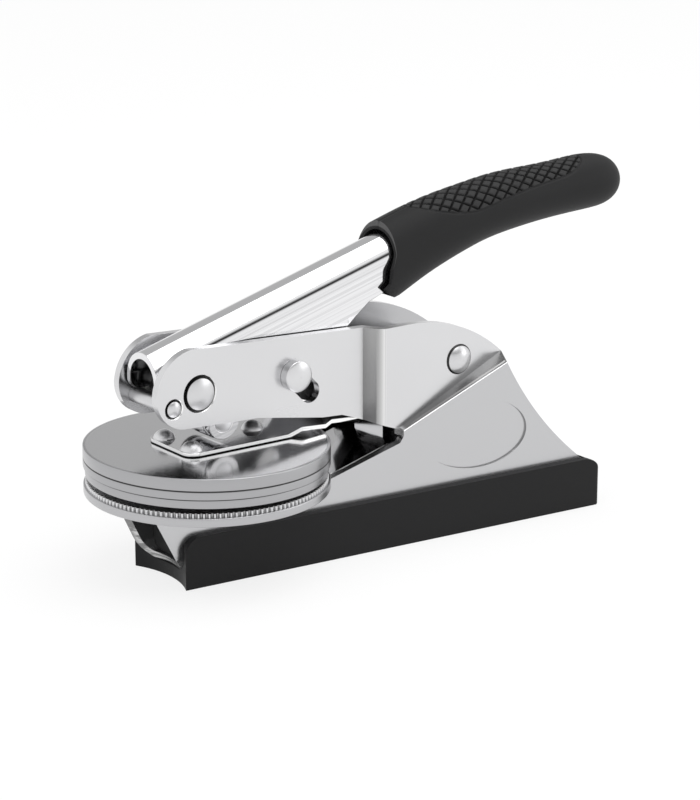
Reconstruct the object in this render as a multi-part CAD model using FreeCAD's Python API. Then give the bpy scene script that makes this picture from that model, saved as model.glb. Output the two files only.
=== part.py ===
import FreeCAD, Part
import math
import os
from FreeCAD import Vector

os.makedirs("parts", exist_ok=True)

# Desk seal embosser. X runs to the rear, the dies are at the front, Z is up, and the
# origin is the middle of the base on the surface that it stands on.

# Driving sizes, in millimetres
disc_radius = 28.5          # die discs, for a 51 mm impression
disc_x = -44.4              # centre of the discs
shoe_length = 115.6
shoe_front_half = 10.5      # the base is a long wedge in plan, narrow at the dies
shoe_rear_half = 22.0
shoe_height = 12.4
sheet = 2.0                 # the folded steel of the frame
pivot_x = -52.0             # main pivot of the handle
pivot_z = 45.3
handle_half = 6.2           # half the width of the handle channel
handle_rise = 15.0          # degrees above level, with the handle up
press_angle = 9.0           # degrees that the handle goes down
jaw_angle = 0.82            # degrees that the upper jaw closes

# Clearances and the overruns of cuts
seat_gap = 0.05
run_gap = 0.05
side_gap = 0.3
paper_gap = 0.12
over = 1.0
far = 40.0                  # past all that stands on one side of a cut

# Base shoe
foot_lift = 0.1             # the shoe hangs this far above the surface, on its pads
shoe_wall = 1.9
shoe_corner = 4.3
shoe_toe = 1.0
lip_hollow = 2.5            # depth of the hollow front edge, in plan
shoe_rear_corner = 1.0

# Folded frame
frame_front_half = 8.6
frame_ahead = 14.0          # stock in front of the shoe, before the raked cut
floor_z = 3.2               # underside of the frame floor
fold_radius = 5.0
frame_end_gap = 1.0
rake = 0.52                 # how far the front edge leans forward for each unit of height
rake_x = -57.4              # where the raked edge leaves the shoe
rake_z = 4.6
rest_z = 18.45              # level top edges that carry the lower leaf
lip_start_x = -21.5
throat_x = 0.8
throat_z = 25.0
crease_front_x = 1.8
crease_front_z = 28.0
crease_rear_in = 1.85        # rear end of the crease, in from the end of the back
crease_rear_z = 40.4
tail_mid_x = 41.8
tail_mid_z = 24.0
tail_x = 54.7
tail_z = 11.4

# Arms and rear plates of the frame
arm_half = 8.8
plate_half = 13.0
joggle_start_x = -6.0
joggle_end_x = -3.4
arm_front_x = -63.5
arm_front_z = 46.2
arm_chin_x = -56.5
arm_chin_z = 37.8
arm_jaw_x = -61.8
arm_jaw_z = 40.9
arm_brow_x = -60.7
arm_brow_z = 52.6
arm_top_x = -54.5
arm_top_z = 55.9
arm_back_rise = 0.1         # top of the arm at the joggle, above the back
arm_belly_x = -36.0
arm_belly_z = 36.7
arm_dip_x = -17.7
arm_dip_z = 33.4
arm_heel_x = -12.1
arm_heel_z = 33.0
back_arc_x = 4.1            # centre and radius of the rounded back of the plates
back_arc_z = 10.5
back_radius = 42.5
ledge_front_z = 28.3
ledge_rear_z = 41.9
heel_drop = 0.5             # the arm meets the ledge this far below its top

# Pins through the frame
pivot_radius = 3.9
pin_crown = 0.8             # how far a domed end stands out
stop_radius = 1.9
stop_x = -59.0
stop_z = 42.9
tie_inset = 7.4             # in from the rounded back
tie_turn = 26.2             # degrees behind the top of the arc
tie_radius = 2.5
tie_head_radius = 3.75
tie_crown = 1.7
tie_tube_radius = 3.5
washer_radius = 5.3
washer_thick = 0.5

# Return pin in the sloping slots, and its spring
slot_x = -26.1
slot_z = 45.2
slot_run_x = 4.7
slot_run_z = -4.85
slot_half = 2.7
return_radius = 2.45
return_head_radius = 3.65
return_head = 3.0
return_travel = 5.6
handle_slot_half = 2.78
spring_wire = 0.45
spring_coil = 2.6
spring_turns = 13
spring_start = 6.6
spring_length = 14.2
hook_gap = 0.15
collar_radius = 3.4
collar_thick = 2.2

# Handle channel
handle_sheet = 1.5
round_centre = 5.2          # centre of the round top above the pivot, square to the channel
handle_front_x = -61.7
handle_ahead = 18.0         # stock that the channel is cut from, before and behind the pivot
handle_behind = 92.0
edge_x = -2.3               # lower edge of the flanges, rising into the grip
edge_z = 58.0
tang_x = 8.0
tang_z = 61.9
tang_end_x = 30.0
tang_end_z = 70.8
roller_dx = 8.2             # roller pin from the main pivot
roller_dz = -8.7
lobe_radius = 4.2
lobe_rear_x = -35.4
lobe_rear_z = 41.1
nose_radius = 2.6
notch_room = 0.6            # between the stop pin and the notch behind it
lug_wall = 2.0              # metal below the slot of the handle
lug_side = 3.0              # and before and behind it

# Roller
roller_radius = 4.35
roller_pin_radius = 2.4
roller_gap = 0.4
roller_pin_crown = 0.24

# Insert: two leaves, a spacer and rivets, with the discs between the leaves
leaf_front_x = -55.3
leaf_half = 9.0
leaf_rear_half = 6.0
leaf_thick = 1.0
leaf_corner = 3.0
leaf_step_x0 = -27.9        # low step just ahead of the rear rim of the discs
leaf_step_x1 = -23.9
leaf_step = 1.13
leaf_heel_x = -8.1
leaf_heel = 0.05
leaf_taper_x0 = -17.1       # the upper leaf narrows here to pass between the arms
leaf_taper_x1 = -13.1
jaw_play = 0.25             # over and under the rear of the upper leaf, for its turn
joint_x = 7.0               # line on which the upper jaw turns
joint_z = 25.6
leaf_rear_x = 14.0
lower_leaf_front_x = -60.0
lower_leaf_half = 9.6
lower_leaf_rear_z = 22.8
spacer_front_x = 2.5
spacer_height = 3.5
spacer_half = 5.5
insert_rivet_x = 8.0
insert_rivet_y = 3.4
insert_rivet_radius = 1.6
insert_rivet_head = 2.8
insert_rivet_crown = 0.9
disc_rivet_radius = 2.6
disc_rivet_crown = 2.0
disc_rivet_hole = 0.95
disc_rivet_ahead = 8.0      # two rivets ahead of the disc centre, one behind it
disc_rivet_side = 5.6
disc_rivet_behind = 12.7

# Disc stack, from below
lower_disc_thick = 2.0
lower_die_thick = 1.0
upper_die_thick = 2.1
backing_thick = 2.05
upper_disc_thick = 2.9
die_radius = 28.0
tooth_depth = 0.45
tooth_count = 96
disc_edge = 0.3

# Blocks and screws in the base
front_block_x0 = -55.0
front_block_x1 = -33.0
front_screw_inset = 5.5
seat_screw_y = 5.3
seat_block_x0 = 4.2
seat_block_x1 = 20.0
seat_block_half = 10.6
seat_block_top = 34.0
seat_slot_x1 = 14.4
seat_slot_top = 30.6
screw_radius = 1.5
screw_head_radius = 3.0
screw_head_z = 0.9
screw_head = 1.7
screw_length = 11.5
pad_half = 2.2
pad_length = 24.0
pad_thick = 1.4
pad_front_x = -40.0
pad_rear_x = 38.0
pad_inset = 5.4

# Grip: its first station, and how far the others run behind and above it
grip_front_x = -4.0
grip_front_z = 63.2
grip_reach = 84.0
grip_rise = 13.2
grip_half_height = 9.6
grip_half_width = 8.1
grip_slope = 20.0           # degrees above level at the first station
mouth_x = 1.5               # foremost point of the mouth, and its outline from there
mouth_depth = 4.1
mouth_low_z = 55.0
mouth_height = 25.0
mouth_step = 3.0            # depth of the open collar round the channel
mouth_gap = 0.8

# Hand-chosen shares of the grip sizes: reach, rise, half height, half width, slope
grip_station_shares = (
    (0.0, 0.0, 1.0, 1.0, 1.0),
    (0.143, 0.235, 0.979, 0.988, 0.95),
    (0.25, 0.477, 0.906, 0.963, 0.875),
    (0.363, 0.674, 0.833, 0.951, 0.7),
    (0.488, 0.833, 0.771, 0.926, 0.45),
    (0.625, 0.924, 0.736, 0.901, 0.225),
    (0.762, 0.97, 0.708, 0.877, 0.1),
    (0.86, 1.0, 0.715, 0.864, 0.05),
    (0.925, 1.0, 0.67, 0.796, 0.0),
    (0.967, 0.995, 0.535, 0.625, 0.0),
    (0.993, 0.985, 0.29, 0.34, 0.0),
    (1.0, 0.983, 0.1, 0.12, 0.0),
)

# Hand-chosen shares of the mouth outline: depth behind its foremost point, height
mouth_shares = (
    (1.0, 1.0),
    (0.902, 0.68),
    (0.829, 0.544),
    (0.488, 0.408),
    (0.39, 0.276),
    (0.0, 0.228),
    (0.415, 0.156),
    (1.805, 0.06),
    (2.2, 0.0),
)

shoe_front_x = -shoe_length / 2
shoe_rear_x = shoe_length / 2
flare = (shoe_rear_half - shoe_front_half) / shoe_length
lower_disc_z = rest_z + seat_gap + leaf_thick
lower_die_z = lower_disc_z + lower_disc_thick
upper_die_z = lower_die_z + lower_die_thick + paper_gap
backing_z = upper_die_z + upper_die_thick
upper_disc_z = backing_z + backing_thick
upper_leaf_z = upper_disc_z + upper_disc_thick
arm_inner = arm_half - sheet
plate_inner = plate_half - sheet
back_rise = ledge_rear_z - back_arc_z
back_end_x = back_arc_x + math.sqrt(back_radius ** 2 - back_rise ** 2)
crease_rear_x = back_end_x - crease_rear_in
arm_back_z = back_arc_z + back_radius + arm_back_rise
tie_x = back_arc_x + (back_radius - tie_inset) * math.sin(math.radians(tie_turn))
tie_z = back_arc_z + (back_radius - tie_inset) * math.cos(math.radians(tie_turn))
Y_AXIS = Vector(0, 1, 0)


def shoe_half(x):
    """Half the width of the shoe at x."""
    return shoe_front_half + flare * (x - shoe_front_x)


def frame_half(x):
    """Half the outer width of the lower frame at x."""
    return frame_front_half + flare * (x - shoe_front_x)


def side_wire(points, y=0.0):
    """Closed outline in the XZ plane. A triple (x, z, via) arrives by an arc through via."""
    edges = []
    last = points[-1]
    for point in points:
        a = Vector(last[0], y, last[1])
        b = Vector(point[0], y, point[1])
        if len(point) == 3:
            via = point[2]
            edges.append(Part.Arc(a, Vector(via[0], y, via[1]), b).toShape())
        else:
            edges.append(Part.makeLine(a, b))
        last = point
    return Part.Wire(edges)


def side_prism(points, y0, y1):
    """Solid with an XZ outline between two sides."""
    return Part.Face(side_wire(points, y0)).extrude(Vector(0, y1 - y0, 0))


def plan_prism(points, z0, z1):
    """Solid with an XY outline between two heights."""
    corners = [Vector(x, y, z0) for x, y in points]
    face = Part.Face(Part.makePolygon(corners + corners[:1]))
    return face.extrude(Vector(0, 0, z1 - z0))


def cross_rod(x, z, radius, y0, y1):
    """Round bar across the machine."""
    return Part.makeCylinder(radius, y1 - y0, Vector(x, y0, z), Y_AXIS)


def post(x, y, radius, z0, z1):
    """Upright round bar."""
    return Part.makeCylinder(radius, z1 - z0, Vector(x, y, z0))


def block(x0, x1, half, z0, z1):
    """Box from x0 to x1, centred across the machine."""
    return Part.makeBox(x1 - x0, 2 * half, z1 - z0, Vector(x0, -half, z0))


def dome(radius, crown):
    """Shallow dome on the XY plane, its flat face at zero."""
    sphere_radius = (radius ** 2 + crown ** 2) / (2 * crown)
    ball = Part.makeSphere(sphere_radius, Vector(0, 0, crown - sphere_radius))
    return ball.common(post(0, 0, radius, 0, crown + over))


def cross_dome(x, z, radius, crown, y, side):
    """Dome on the end of a cross pin, facing out on the given side."""
    cap = dome(radius, crown)
    cap.rotate(Vector(), Vector(1, 0, 0), -90 * side)
    cap.translate(Vector(x, y, z))
    return cap


def domed_pin(x, z, radius, half, crown):
    """Cross pin with a dome on each end."""
    pin = cross_rod(x, z, radius, -half, half)
    for side in (-1, 1):
        pin = pin.fuse(cross_dome(x, z, radius, crown, side * half, side))
    return pin.removeSplitter()


def mirror(shape):
    """The same shape on the other side of the machine."""
    return shape.mirror(Vector(), Y_AXIS)


def fused(shapes):
    """All the shapes as one solid."""
    whole = shapes[0].multiFuse(shapes[1:])
    return whole.removeSplitter()


def trough_wire(x, half, z0, radius, top):
    """U section at x with rounded lower corners, closed across the top."""
    turn = radius * (1 - math.sqrt(0.5))
    a = Vector(x, half, top)
    b = Vector(x, half, z0 + radius)
    c = Vector(x, half - radius, z0)
    corners = [a, b, c, Vector(x, radius - half, z0), Vector(x, -half, z0 + radius), Vector(x, -half, top)]
    right = Part.Arc(b, Vector(x, half - turn, z0 + turn), c).toShape()
    left = Part.Arc(corners[3], Vector(x, turn - half, z0 + turn), corners[4]).toShape()
    return Part.Wire([
        Part.makeLine(a, b),
        right,
        Part.makeLine(c, corners[3]),
        left,
        Part.makeLine(corners[4], corners[5]),
        Part.makeLine(corners[5], a),
    ])


def trough(inset, x0, x1, top):
    """Filled form of the lower frame, drawn in from its outer skin by the inset."""
    wires = []
    for x in (x0, x1):
        wires.append(trough_wire(x, frame_half(x) - inset, floor_z + inset, fold_radius - inset, top))
    return Part.makeLoft(wires, True, True)


def disc(z0, z1, radius, edge):
    """Round disc with small chamfered rims."""
    plate = post(disc_x, 0, radius, z0, z1)
    rims = [e for e in plate.Edges if isinstance(e.Curve, Part.Circle)]
    return plate.makeChamfer(edge, rims)


def toothed_disc(z0, z1):
    """Disc whose rim is cut into fine teeth all round."""
    corners = []
    for i in range(2 * tooth_count):
        turn = math.pi * i / tooth_count
        radius = die_radius - (i % 2) * tooth_depth
        corners.append((disc_x + radius * math.cos(turn), radius * math.sin(turn)))
    return plan_prism(corners, z0, z1)


def opened(shape):
    """The upper jaw as it stands with the handle up."""
    turned = shape.copy()
    turned.rotate(Vector(joint_x, 0, joint_z), Y_AXIS, jaw_angle)
    return turned


# Base

def screw_places():
    """Two screws under the dies, two under the seat of the insert."""
    rear_x = (seat_block_x0 + seat_block_x1) / 2
    return (
        (front_block_x0 + front_screw_inset, 0.0),
        (front_block_x1 - front_screw_inset, 0.0),
        (rear_x, -seat_screw_y),
        (rear_x, seat_screw_y),
    )


def pad_places():
    """Four pads, each a fixed inset from the side of the shoe."""
    places = []
    for x in (pad_front_x, pad_rear_x):
        for side in (-1, 1):
            places.append((x, side * (shoe_half(x) - pad_inset)))
    return places


def pad(x, y, grow):
    """Strip with round ends."""
    reach = pad_length / 2 - pad_half
    half = pad_half + grow
    strip = Part.makeBox(2 * reach, 2 * half, pad_thick, Vector(x - reach, y - half, 0))
    ends = [post(x + side * reach, y, half, 0, pad_thick) for side in (-1, 1)]
    return fused([strip] + ends)


def base_shoe():
    corner = shoe_corner * (1 - math.sqrt(0.5))
    toe = shoe_toe * (1 - math.sqrt(0.5))
    front = shoe_front_x
    rear = shoe_rear_x
    low = foot_lift
    top = shoe_height
    sides = side_prism([
        (front, low),
        (front, top - shoe_corner),
        (front + shoe_corner, top, (front + corner, top - corner)),
        (rear - shoe_corner, top),
        (rear, top - shoe_corner, (rear - corner, top - corner)),
        (rear, low + shoe_toe),
        (rear - shoe_toe, low, (rear - toe, low + toe)),
    ], -shoe_rear_half - over, shoe_rear_half + over)
    plan = plan_prism([
        (front, -shoe_front_half),
        (rear, -shoe_rear_half),
        (rear, shoe_rear_half),
        (front, shoe_front_half),
    ], 0, top + over)
    upright = [e for e in plan.Edges if e.BoundBox.ZLength > top and e.BoundBox.XMin > 0]
    shoe = plan.makeFillet(shoe_rear_corner, upright).common(sides)
    shoe = shoe.cut(trough(-seat_gap, front - over, rear - shoe_wall, top + over))
    hollow = (shoe_front_half ** 2 + lip_hollow ** 2) / (2 * lip_hollow)
    shoe = shoe.cut(post(front + lip_hollow - hollow, 0, hollow, 0, top + over))
    for x, y in screw_places():
        shoe = shoe.cut(post(x, y, screw_radius + run_gap, 0, top))
        shoe = shoe.cut(post(x, y, screw_head_radius + run_gap, 0, screw_head_z + screw_head))
    for x, y in pad_places():
        shoe = shoe.cut(pad(x, y, seat_gap))
    return shoe


def foot_pads():
    return Part.makeCompound([pad(x, y, 0) for x, y in pad_places()])


def base_screws():
    screws = []
    for x, y in screw_places():
        head = post(x, y, screw_head_radius, screw_head_z, screw_head_z + screw_head)
        recess = post(x, y, screw_radius / 2, screw_head_z - over, screw_head_z + screw_head / 2)
        shank = post(x, y, screw_radius, screw_head_z + screw_head, screw_head_z + screw_length)
        screws.append(head.fuse(shank).removeSplitter().cut(recess))
    return Part.makeCompound(screws)


# Folded frame

def lower_side_outline():
    """Side view of the flared lower plates and the floor."""
    front_x = shoe_front_x - frame_ahead
    end_x = shoe_rear_x - shoe_wall - frame_end_gap
    return [
        (front_x, floor_z - over),
        (front_x, rest_z),
        (lip_start_x, rest_z),
        (throat_x, throat_z),
        (crease_front_x, (throat_z + crease_front_z) / 2),
        (crease_front_x, crease_front_z),
        (crease_rear_x, crease_rear_z),
        (tail_x, tail_z, (tail_mid_x, tail_mid_z)),
        (end_x, tail_z - sheet),
        (end_x, floor_z - over),
    ]


def lower_frame():
    """Trough with raked front edges, hollow across the front."""
    x0 = shoe_front_x - frame_ahead
    x1 = shoe_rear_x
    top = crease_rear_z + over
    shell = trough(0, x0, x1, top).cut(trough(sheet, x0 - over, x1 + over, top + over))
    shell = shell.common(side_prism(lower_side_outline(), -shoe_rear_half, shoe_rear_half))
    hollow = (shoe_front_half ** 2 + lip_hollow ** 2) / (2 * lip_hollow)
    behind = hollow - math.sqrt(hollow ** 2 - frame_front_half ** 2)
    start = Vector(rake_x + behind - hollow, 0, rake_z)
    lean = Vector(-rake, 0, 1)
    low = start - lean * (rake_z + hollow)
    height = (rest_z + 2 * hollow) * lean.Length
    cutter = Part.makeCylinder(hollow * math.cos(math.atan(rake)), height, low, lean)
    return shell.cut(cutter)


def upper_plate():
    """One arm with its joggle and rear plate, on the far side."""
    turn = sheet * math.tan(math.atan2(plate_half - arm_half, joggle_end_x - joggle_start_x) / 2)
    front = arm_front_x - over
    rear = back_end_x + over
    folded = plan_prism([
        (front, arm_inner),
        (joggle_start_x + turn, arm_inner),
        (joggle_end_x + turn, plate_inner),
        (rear, plate_inner),
        (rear, plate_half),
        (joggle_end_x, plate_half),
        (joggle_start_x, arm_half),
        (front, arm_half),
    ], 0, arm_top_z + over)

    def back_z(x):
        return back_arc_z + math.sqrt(back_radius ** 2 - (x - back_arc_x) ** 2)

    outline = [
        (arm_chin_x, arm_chin_z),
        (arm_front_x, arm_front_z, (arm_jaw_x, arm_jaw_z)),
        (arm_top_x, arm_top_z, (arm_brow_x, arm_brow_z)),
        (joggle_start_x, arm_back_z),
        (back_arc_x, back_z(back_arc_x)),
        (back_end_x, back_z(back_end_x), (tie_x, back_z(tie_x))),
        (back_end_x, ledge_rear_z - sheet),
        (crease_front_x, ledge_front_z - sheet),
        (crease_front_x, ledge_front_z - heel_drop),
        (arm_heel_x, arm_heel_z),
        (arm_dip_x, arm_dip_z),
        (arm_belly_x, arm_belly_z),
    ]
    return folded.common(side_prism(outline, 0, plate_half + over))


def ledge():
    """Sloping strip that joins the rear plate to the flared plate below it."""
    rear_out = frame_half(crease_rear_x)
    front_out = frame_half(crease_front_x)
    middle = plate_half - sheet / 2
    lean = crease_rear_in / (rear_out - plate_half)
    sections = []
    for x, top_z, low_z, out, slant in (
        (crease_front_x, ledge_front_z, crease_front_z, front_out, 0.0),
        (back_end_x, ledge_rear_z, crease_rear_z, rear_out, lean),
    ):
        corners = []
        for y, z in (
            (middle, top_z),
            (plate_half, top_z),
            (out, low_z),
            (out, low_z - sheet),
            (plate_half, top_z - sheet),
            (middle, top_z - sheet),
        ):
            corners.append(Vector(x - slant * (y - plate_half), y, z))
        sections.append(Part.makePolygon(corners + corners[:1]))
    strip = Part.makeLoft(sections, True, True)
    return strip.cut(block(back_end_x, back_end_x + far, shoe_rear_half, 0, arm_top_z))


def slot_cut(half, x, z, run_x, run_z, side):
    """Round-ended slot from one pin place to another, through both sides."""
    ends = [cross_rod(x, z, half, -side, side), cross_rod(x + run_x, z + run_z, half, -side, side)]
    length = math.hypot(run_x, run_z)
    nx = -run_z / length * half
    nz = run_x / length * half
    middle = side_prism([
        (x + nx, z + nz),
        (x + run_x + nx, z + run_z + nz),
        (x + run_x - nx, z + run_z - nz),
        (x - nx, z - nz),
    ], -side, side)
    return fused(ends + [middle])


def frame():
    pieces = [lower_frame()]
    for half in (upper_plate(), ledge()):
        pieces += [half, mirror(half)]
    body = fused(pieces)
    wide = plate_half + over
    body = body.cut(cross_rod(pivot_x, pivot_z, pivot_radius + run_gap, -wide, wide))
    body = body.cut(cross_rod(stop_x, stop_z, stop_radius + run_gap, -wide, wide))
    body = body.cut(cross_rod(tie_x, tie_z, tie_radius + run_gap, -wide, wide))
    body = body.cut(slot_cut(slot_half, slot_x, slot_z, slot_run_x, slot_run_z, wide))
    for x, y in screw_places():
        body = body.cut(post(x, y, screw_radius + run_gap, 0, floor_z + sheet + over))
    return body


def main_pivot_pin():
    return domed_pin(pivot_x, pivot_z, pivot_radius, arm_half, pin_crown)


def front_stop_pin():
    return domed_pin(stop_x, stop_z, stop_radius, arm_half, pin_crown)


def rear_tie_rivet():
    shank = cross_rod(tie_x, tie_z, tie_radius, -plate_half, plate_half)
    heads = []
    for side in (-1, 1):
        heads.append(cross_dome(tie_x, tie_z, tie_head_radius, tie_crown, side * plate_half, side))
    return fused([shank] + heads)


def rear_tie_tube():
    half = plate_inner - seat_gap
    tube = cross_rod(tie_x, tie_z, tie_tube_radius, -half, half)
    return tube.cut(cross_rod(tie_x, tie_z, tie_radius + run_gap, -half - over, half + over))


def pivot_washers():
    """One thin washer between each arm and the handle."""
    rings = []
    middle = (arm_inner + handle_half) / 2
    for side in (-1, 1):
        y0 = side * middle - washer_thick / 2
        ring = cross_rod(pivot_x, pivot_z, washer_radius, y0, y0 + washer_thick)
        hole = cross_rod(pivot_x, pivot_z, pivot_radius + run_gap, y0 - over, y0 + washer_thick + over)
        rings.append(ring.cut(hole))
    return Part.makeCompound(rings)


# Blocks inside the frame

def inner_form():
    """Room inside the lower frame, less a seating gap."""
    return trough(sheet + seat_gap, shoe_front_x - over, shoe_rear_x, seat_block_top + over)


def drilled(body):
    """The screws of the base cut their way into a block."""
    for x, y in screw_places():
        body = body.cut(post(x, y, screw_radius, 0, screw_head_z + screw_length + over))
    return body


def front_block():
    body = block(front_block_x0, front_block_x1, frame_front_half, 0, rest_z)
    return drilled(body.common(inner_form()))


def seat_block():
    body = block(seat_block_x0, seat_block_x1, seat_block_half, 0, seat_block_top)
    body = body.common(inner_form())
    slot_floor = lower_leaf_rear_z - insert_rivet_crown
    slot_half_width = frame_half(seat_slot_x1)
    slot = block(seat_block_x0 - over, seat_slot_x1, slot_half_width, slot_floor, seat_slot_top)
    return drilled(body.cut(slot))


# Insert

def leaf_body(path, half_front, half_rear, taper_x0, taper_x1):
    """Bent strip: its side view swept across, then trimmed to its plan."""
    side = [(x, z + leaf_thick) for x, z in path] + [(x, z) for x, z in reversed(path)]
    strip = side_prism(side, -half_front, half_front)
    front = path[0][0]
    rear = path[-1][0]
    plan = plan_prism([
        (front, -half_front),
        (taper_x0, -half_front),
        (taper_x1, -half_rear),
        (rear, -half_rear),
        (rear, half_rear),
        (taper_x1, half_rear),
        (taper_x0, half_front),
        (front, half_front),
    ], 0, arm_top_z)
    corners = [e for e in plan.Edges if e.BoundBox.ZLength > arm_belly_z and e.BoundBox.XMax < front + over]
    return strip.common(plan.makeFillet(leaf_corner, corners))


def rivet_holes(body, radius):
    for side in (-1, 1):
        body = body.cut(post(insert_rivet_x, side * insert_rivet_y, radius, 0, arm_top_z))
    return body


def disc_rivet_places():
    """Two rivets at the front corners of the leaf, one at its middle further back."""
    ahead = disc_x - disc_rivet_ahead
    return ((ahead, -disc_rivet_side), (ahead, disc_rivet_side), (disc_x + disc_rivet_behind, 0.0))


def disc_holes(body):
    for x, y in disc_rivet_places():
        body = body.cut(post(x, y, disc_rivet_hole + run_gap, 0, arm_top_z))
    return body


def lower_leaf():
    flat_z = rest_z + seat_gap
    path = [
        (lower_leaf_front_x, flat_z),
        (disc_x + disc_radius + leaf_thick / 2, flat_z),
        (spacer_front_x - leaf_thick, lower_leaf_rear_z),
        (leaf_rear_x, lower_leaf_rear_z),
    ]
    leaf = leaf_body(path, lower_leaf_half, lower_leaf_half, lip_start_x, spacer_front_x)
    return disc_holes(rivet_holes(leaf, insert_rivet_radius + run_gap))


def upper_leaf():
    rear_z = lower_leaf_rear_z + leaf_thick + spacer_height + jaw_play
    path = [
        (leaf_front_x, upper_leaf_z),
        (leaf_step_x0, upper_leaf_z),
        (leaf_step_x1, upper_leaf_z + leaf_step),
        (leaf_heel_x, upper_leaf_z + leaf_heel),
        (spacer_front_x, rear_z),
        (leaf_rear_x, rear_z),
    ]
    leaf = leaf_body(path, leaf_half, leaf_rear_half, leaf_taper_x0, leaf_taper_x1)
    return opened(disc_holes(rivet_holes(leaf, insert_rivet_radius + 2 * run_gap)))


def insert_spacer():
    z0 = lower_leaf_rear_z + leaf_thick
    spacer = block(spacer_front_x, leaf_rear_x, spacer_half, z0, z0 + spacer_height)
    return rivet_holes(spacer, insert_rivet_radius + run_gap)


def insert_rivets():
    """Two rivets that hold the leaves and the spacer together."""
    rivets = []
    low = lower_leaf_rear_z
    top = low + 2 * leaf_thick + spacer_height + 2 * jaw_play
    for side in (-1, 1):
        y = side * insert_rivet_y
        shank = post(insert_rivet_x, y, insert_rivet_radius, low, top)
        cap = dome(insert_rivet_head, insert_rivet_crown)
        cap.translate(Vector(insert_rivet_x, y, top))
        foot = post(insert_rivet_x, y, insert_rivet_head, low - insert_rivet_crown, low)
        rivets.append(fused([shank, cap, foot]))
    return Part.makeCompound(rivets)


def lower_disc():
    return disc_holes(disc(lower_disc_z, lower_die_z, disc_radius, disc_edge))


def lower_die():
    return toothed_disc(lower_die_z, lower_die_z + lower_die_thick)


def lower_disc_rivets():
    """Three short rivets that hold the lower disc on its leaf."""
    rivets = []
    for x, y in disc_rivet_places():
        rivets.append(post(x, y, disc_rivet_hole, rest_z + seat_gap, lower_die_z))
    return Part.makeCompound(rivets)


def upper_die():
    return opened(disc(upper_die_z, backing_z, die_radius, disc_edge))


def backing_disc():
    return opened(disc(backing_z, upper_disc_z, disc_radius, disc_edge))


def upper_disc():
    return opened(disc_holes(disc(upper_disc_z, upper_leaf_z, disc_radius, disc_edge)))


def upper_disc_rivets():
    """Three domed rivets that hold the upper disc under its leaf."""
    rivets = []
    for x, y in disc_rivet_places():
        cap = dome(disc_rivet_radius, disc_rivet_crown)
        cap.translate(Vector(x, y, upper_leaf_z + leaf_thick))
        shank = post(x, y, disc_rivet_hole, upper_disc_z, upper_leaf_z + leaf_thick)
        rivets.append(cap.fuse(shank).removeSplitter())
    return opened(Part.makeCompound(rivets))


# Handle

def handle_stock(inset, x_extra=0.0):
    """Long bar with a round top, laid along the channel."""
    half = handle_half - inset
    turn = Vector(0, 0, round_centre + half)
    points = [Vector(0, -half, -far), Vector(0, -half, round_centre)]
    others = [Vector(0, half, round_centre), Vector(0, half, -far)]
    wire = Part.Wire([
        Part.makeLine(points[0], points[1]),
        Part.Arc(points[1], turn, others[0]).toShape(),
        Part.makeLine(others[0], others[1]),
        Part.makeLine(others[1], points[0]),
    ])
    stock = Part.Face(wire).extrude(Vector(handle_ahead + handle_behind + x_extra, 0, 0))
    stock.translate(Vector(-handle_ahead - x_extra / 2, 0, 0))
    stock.rotate(Vector(), Y_AXIS, -handle_rise)
    stock.translate(Vector(pivot_x, 0, pivot_z))
    return stock


def handle_outline():
    """Side view of the flanges: stop notch, roller lobe, slot lug, then the rising edge."""
    roller_x = pivot_x + roller_dx
    roller_z = pivot_z + roller_dz
    notch_x = stop_x + stop_radius + notch_room
    notch_z = stop_z + stop_radius + run_gap
    nose = nose_radius * (1 - math.sqrt(0.5))
    lug_low = slot_z - handle_slot_half - lug_wall
    lug_front = slot_x - handle_slot_half - lug_side
    lug_rear = slot_x + slot_run_x + handle_slot_half + lug_side
    top_z = pivot_z + far
    return [
        (handle_front_x, top_z),
        (handle_front_x, notch_z + nose_radius),
        (handle_front_x + nose_radius, notch_z, (handle_front_x + nose, notch_z + nose)),
        (notch_x, notch_z),
        (notch_x, stop_z - stop_radius),
        (roller_x - lobe_radius, roller_z),
        (roller_x + lobe_radius, roller_z, (roller_x, roller_z - lobe_radius)),
        (lobe_rear_x, lobe_rear_z),
        (lug_front, lug_low),
        (lug_rear, lug_low + handle_sheet),
        (lug_rear + lobe_radius, slot_z + handle_slot_half + lug_side),
        (edge_x, edge_z),
        (tang_x, tang_z),
        (tang_end_x, tang_end_z),
        (tang_end_x, top_z),
    ]


def handle_slot_end():
    """Where the return pin ends up, as the handle sees it, relative to its first place."""
    length = math.hypot(slot_run_x, slot_run_z)
    x = slot_x - pivot_x + return_travel * slot_run_x / length
    z = slot_z - pivot_z + return_travel * slot_run_z / length
    turn = math.radians(press_angle)
    back_x = x * math.cos(turn) - z * math.sin(turn)
    back_z = x * math.sin(turn) + z * math.cos(turn)
    return back_x - (slot_x - pivot_x), back_z - (slot_z - pivot_z)


def handle_lever():
    channel = handle_stock(0).cut(handle_stock(handle_sheet, 2 * over))
    lever = channel.common(side_prism(handle_outline(), -handle_half - over, handle_half + over))
    wide = handle_half + over
    lever = lever.cut(cross_rod(pivot_x, pivot_z, pivot_radius + run_gap, -wide, wide))
    lever = lever.cut(cross_rod(pivot_x + roller_dx, pivot_z + roller_dz, roller_pin_radius, -wide, wide))
    run_x, run_z = handle_slot_end()
    return lever.cut(slot_cut(handle_slot_half, slot_x, slot_z, run_x, run_z, wide))


def roller_pin():
    x = pivot_x + roller_dx
    z = pivot_z + roller_dz
    return domed_pin(x, z, roller_pin_radius, handle_half, roller_pin_crown)


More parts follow.
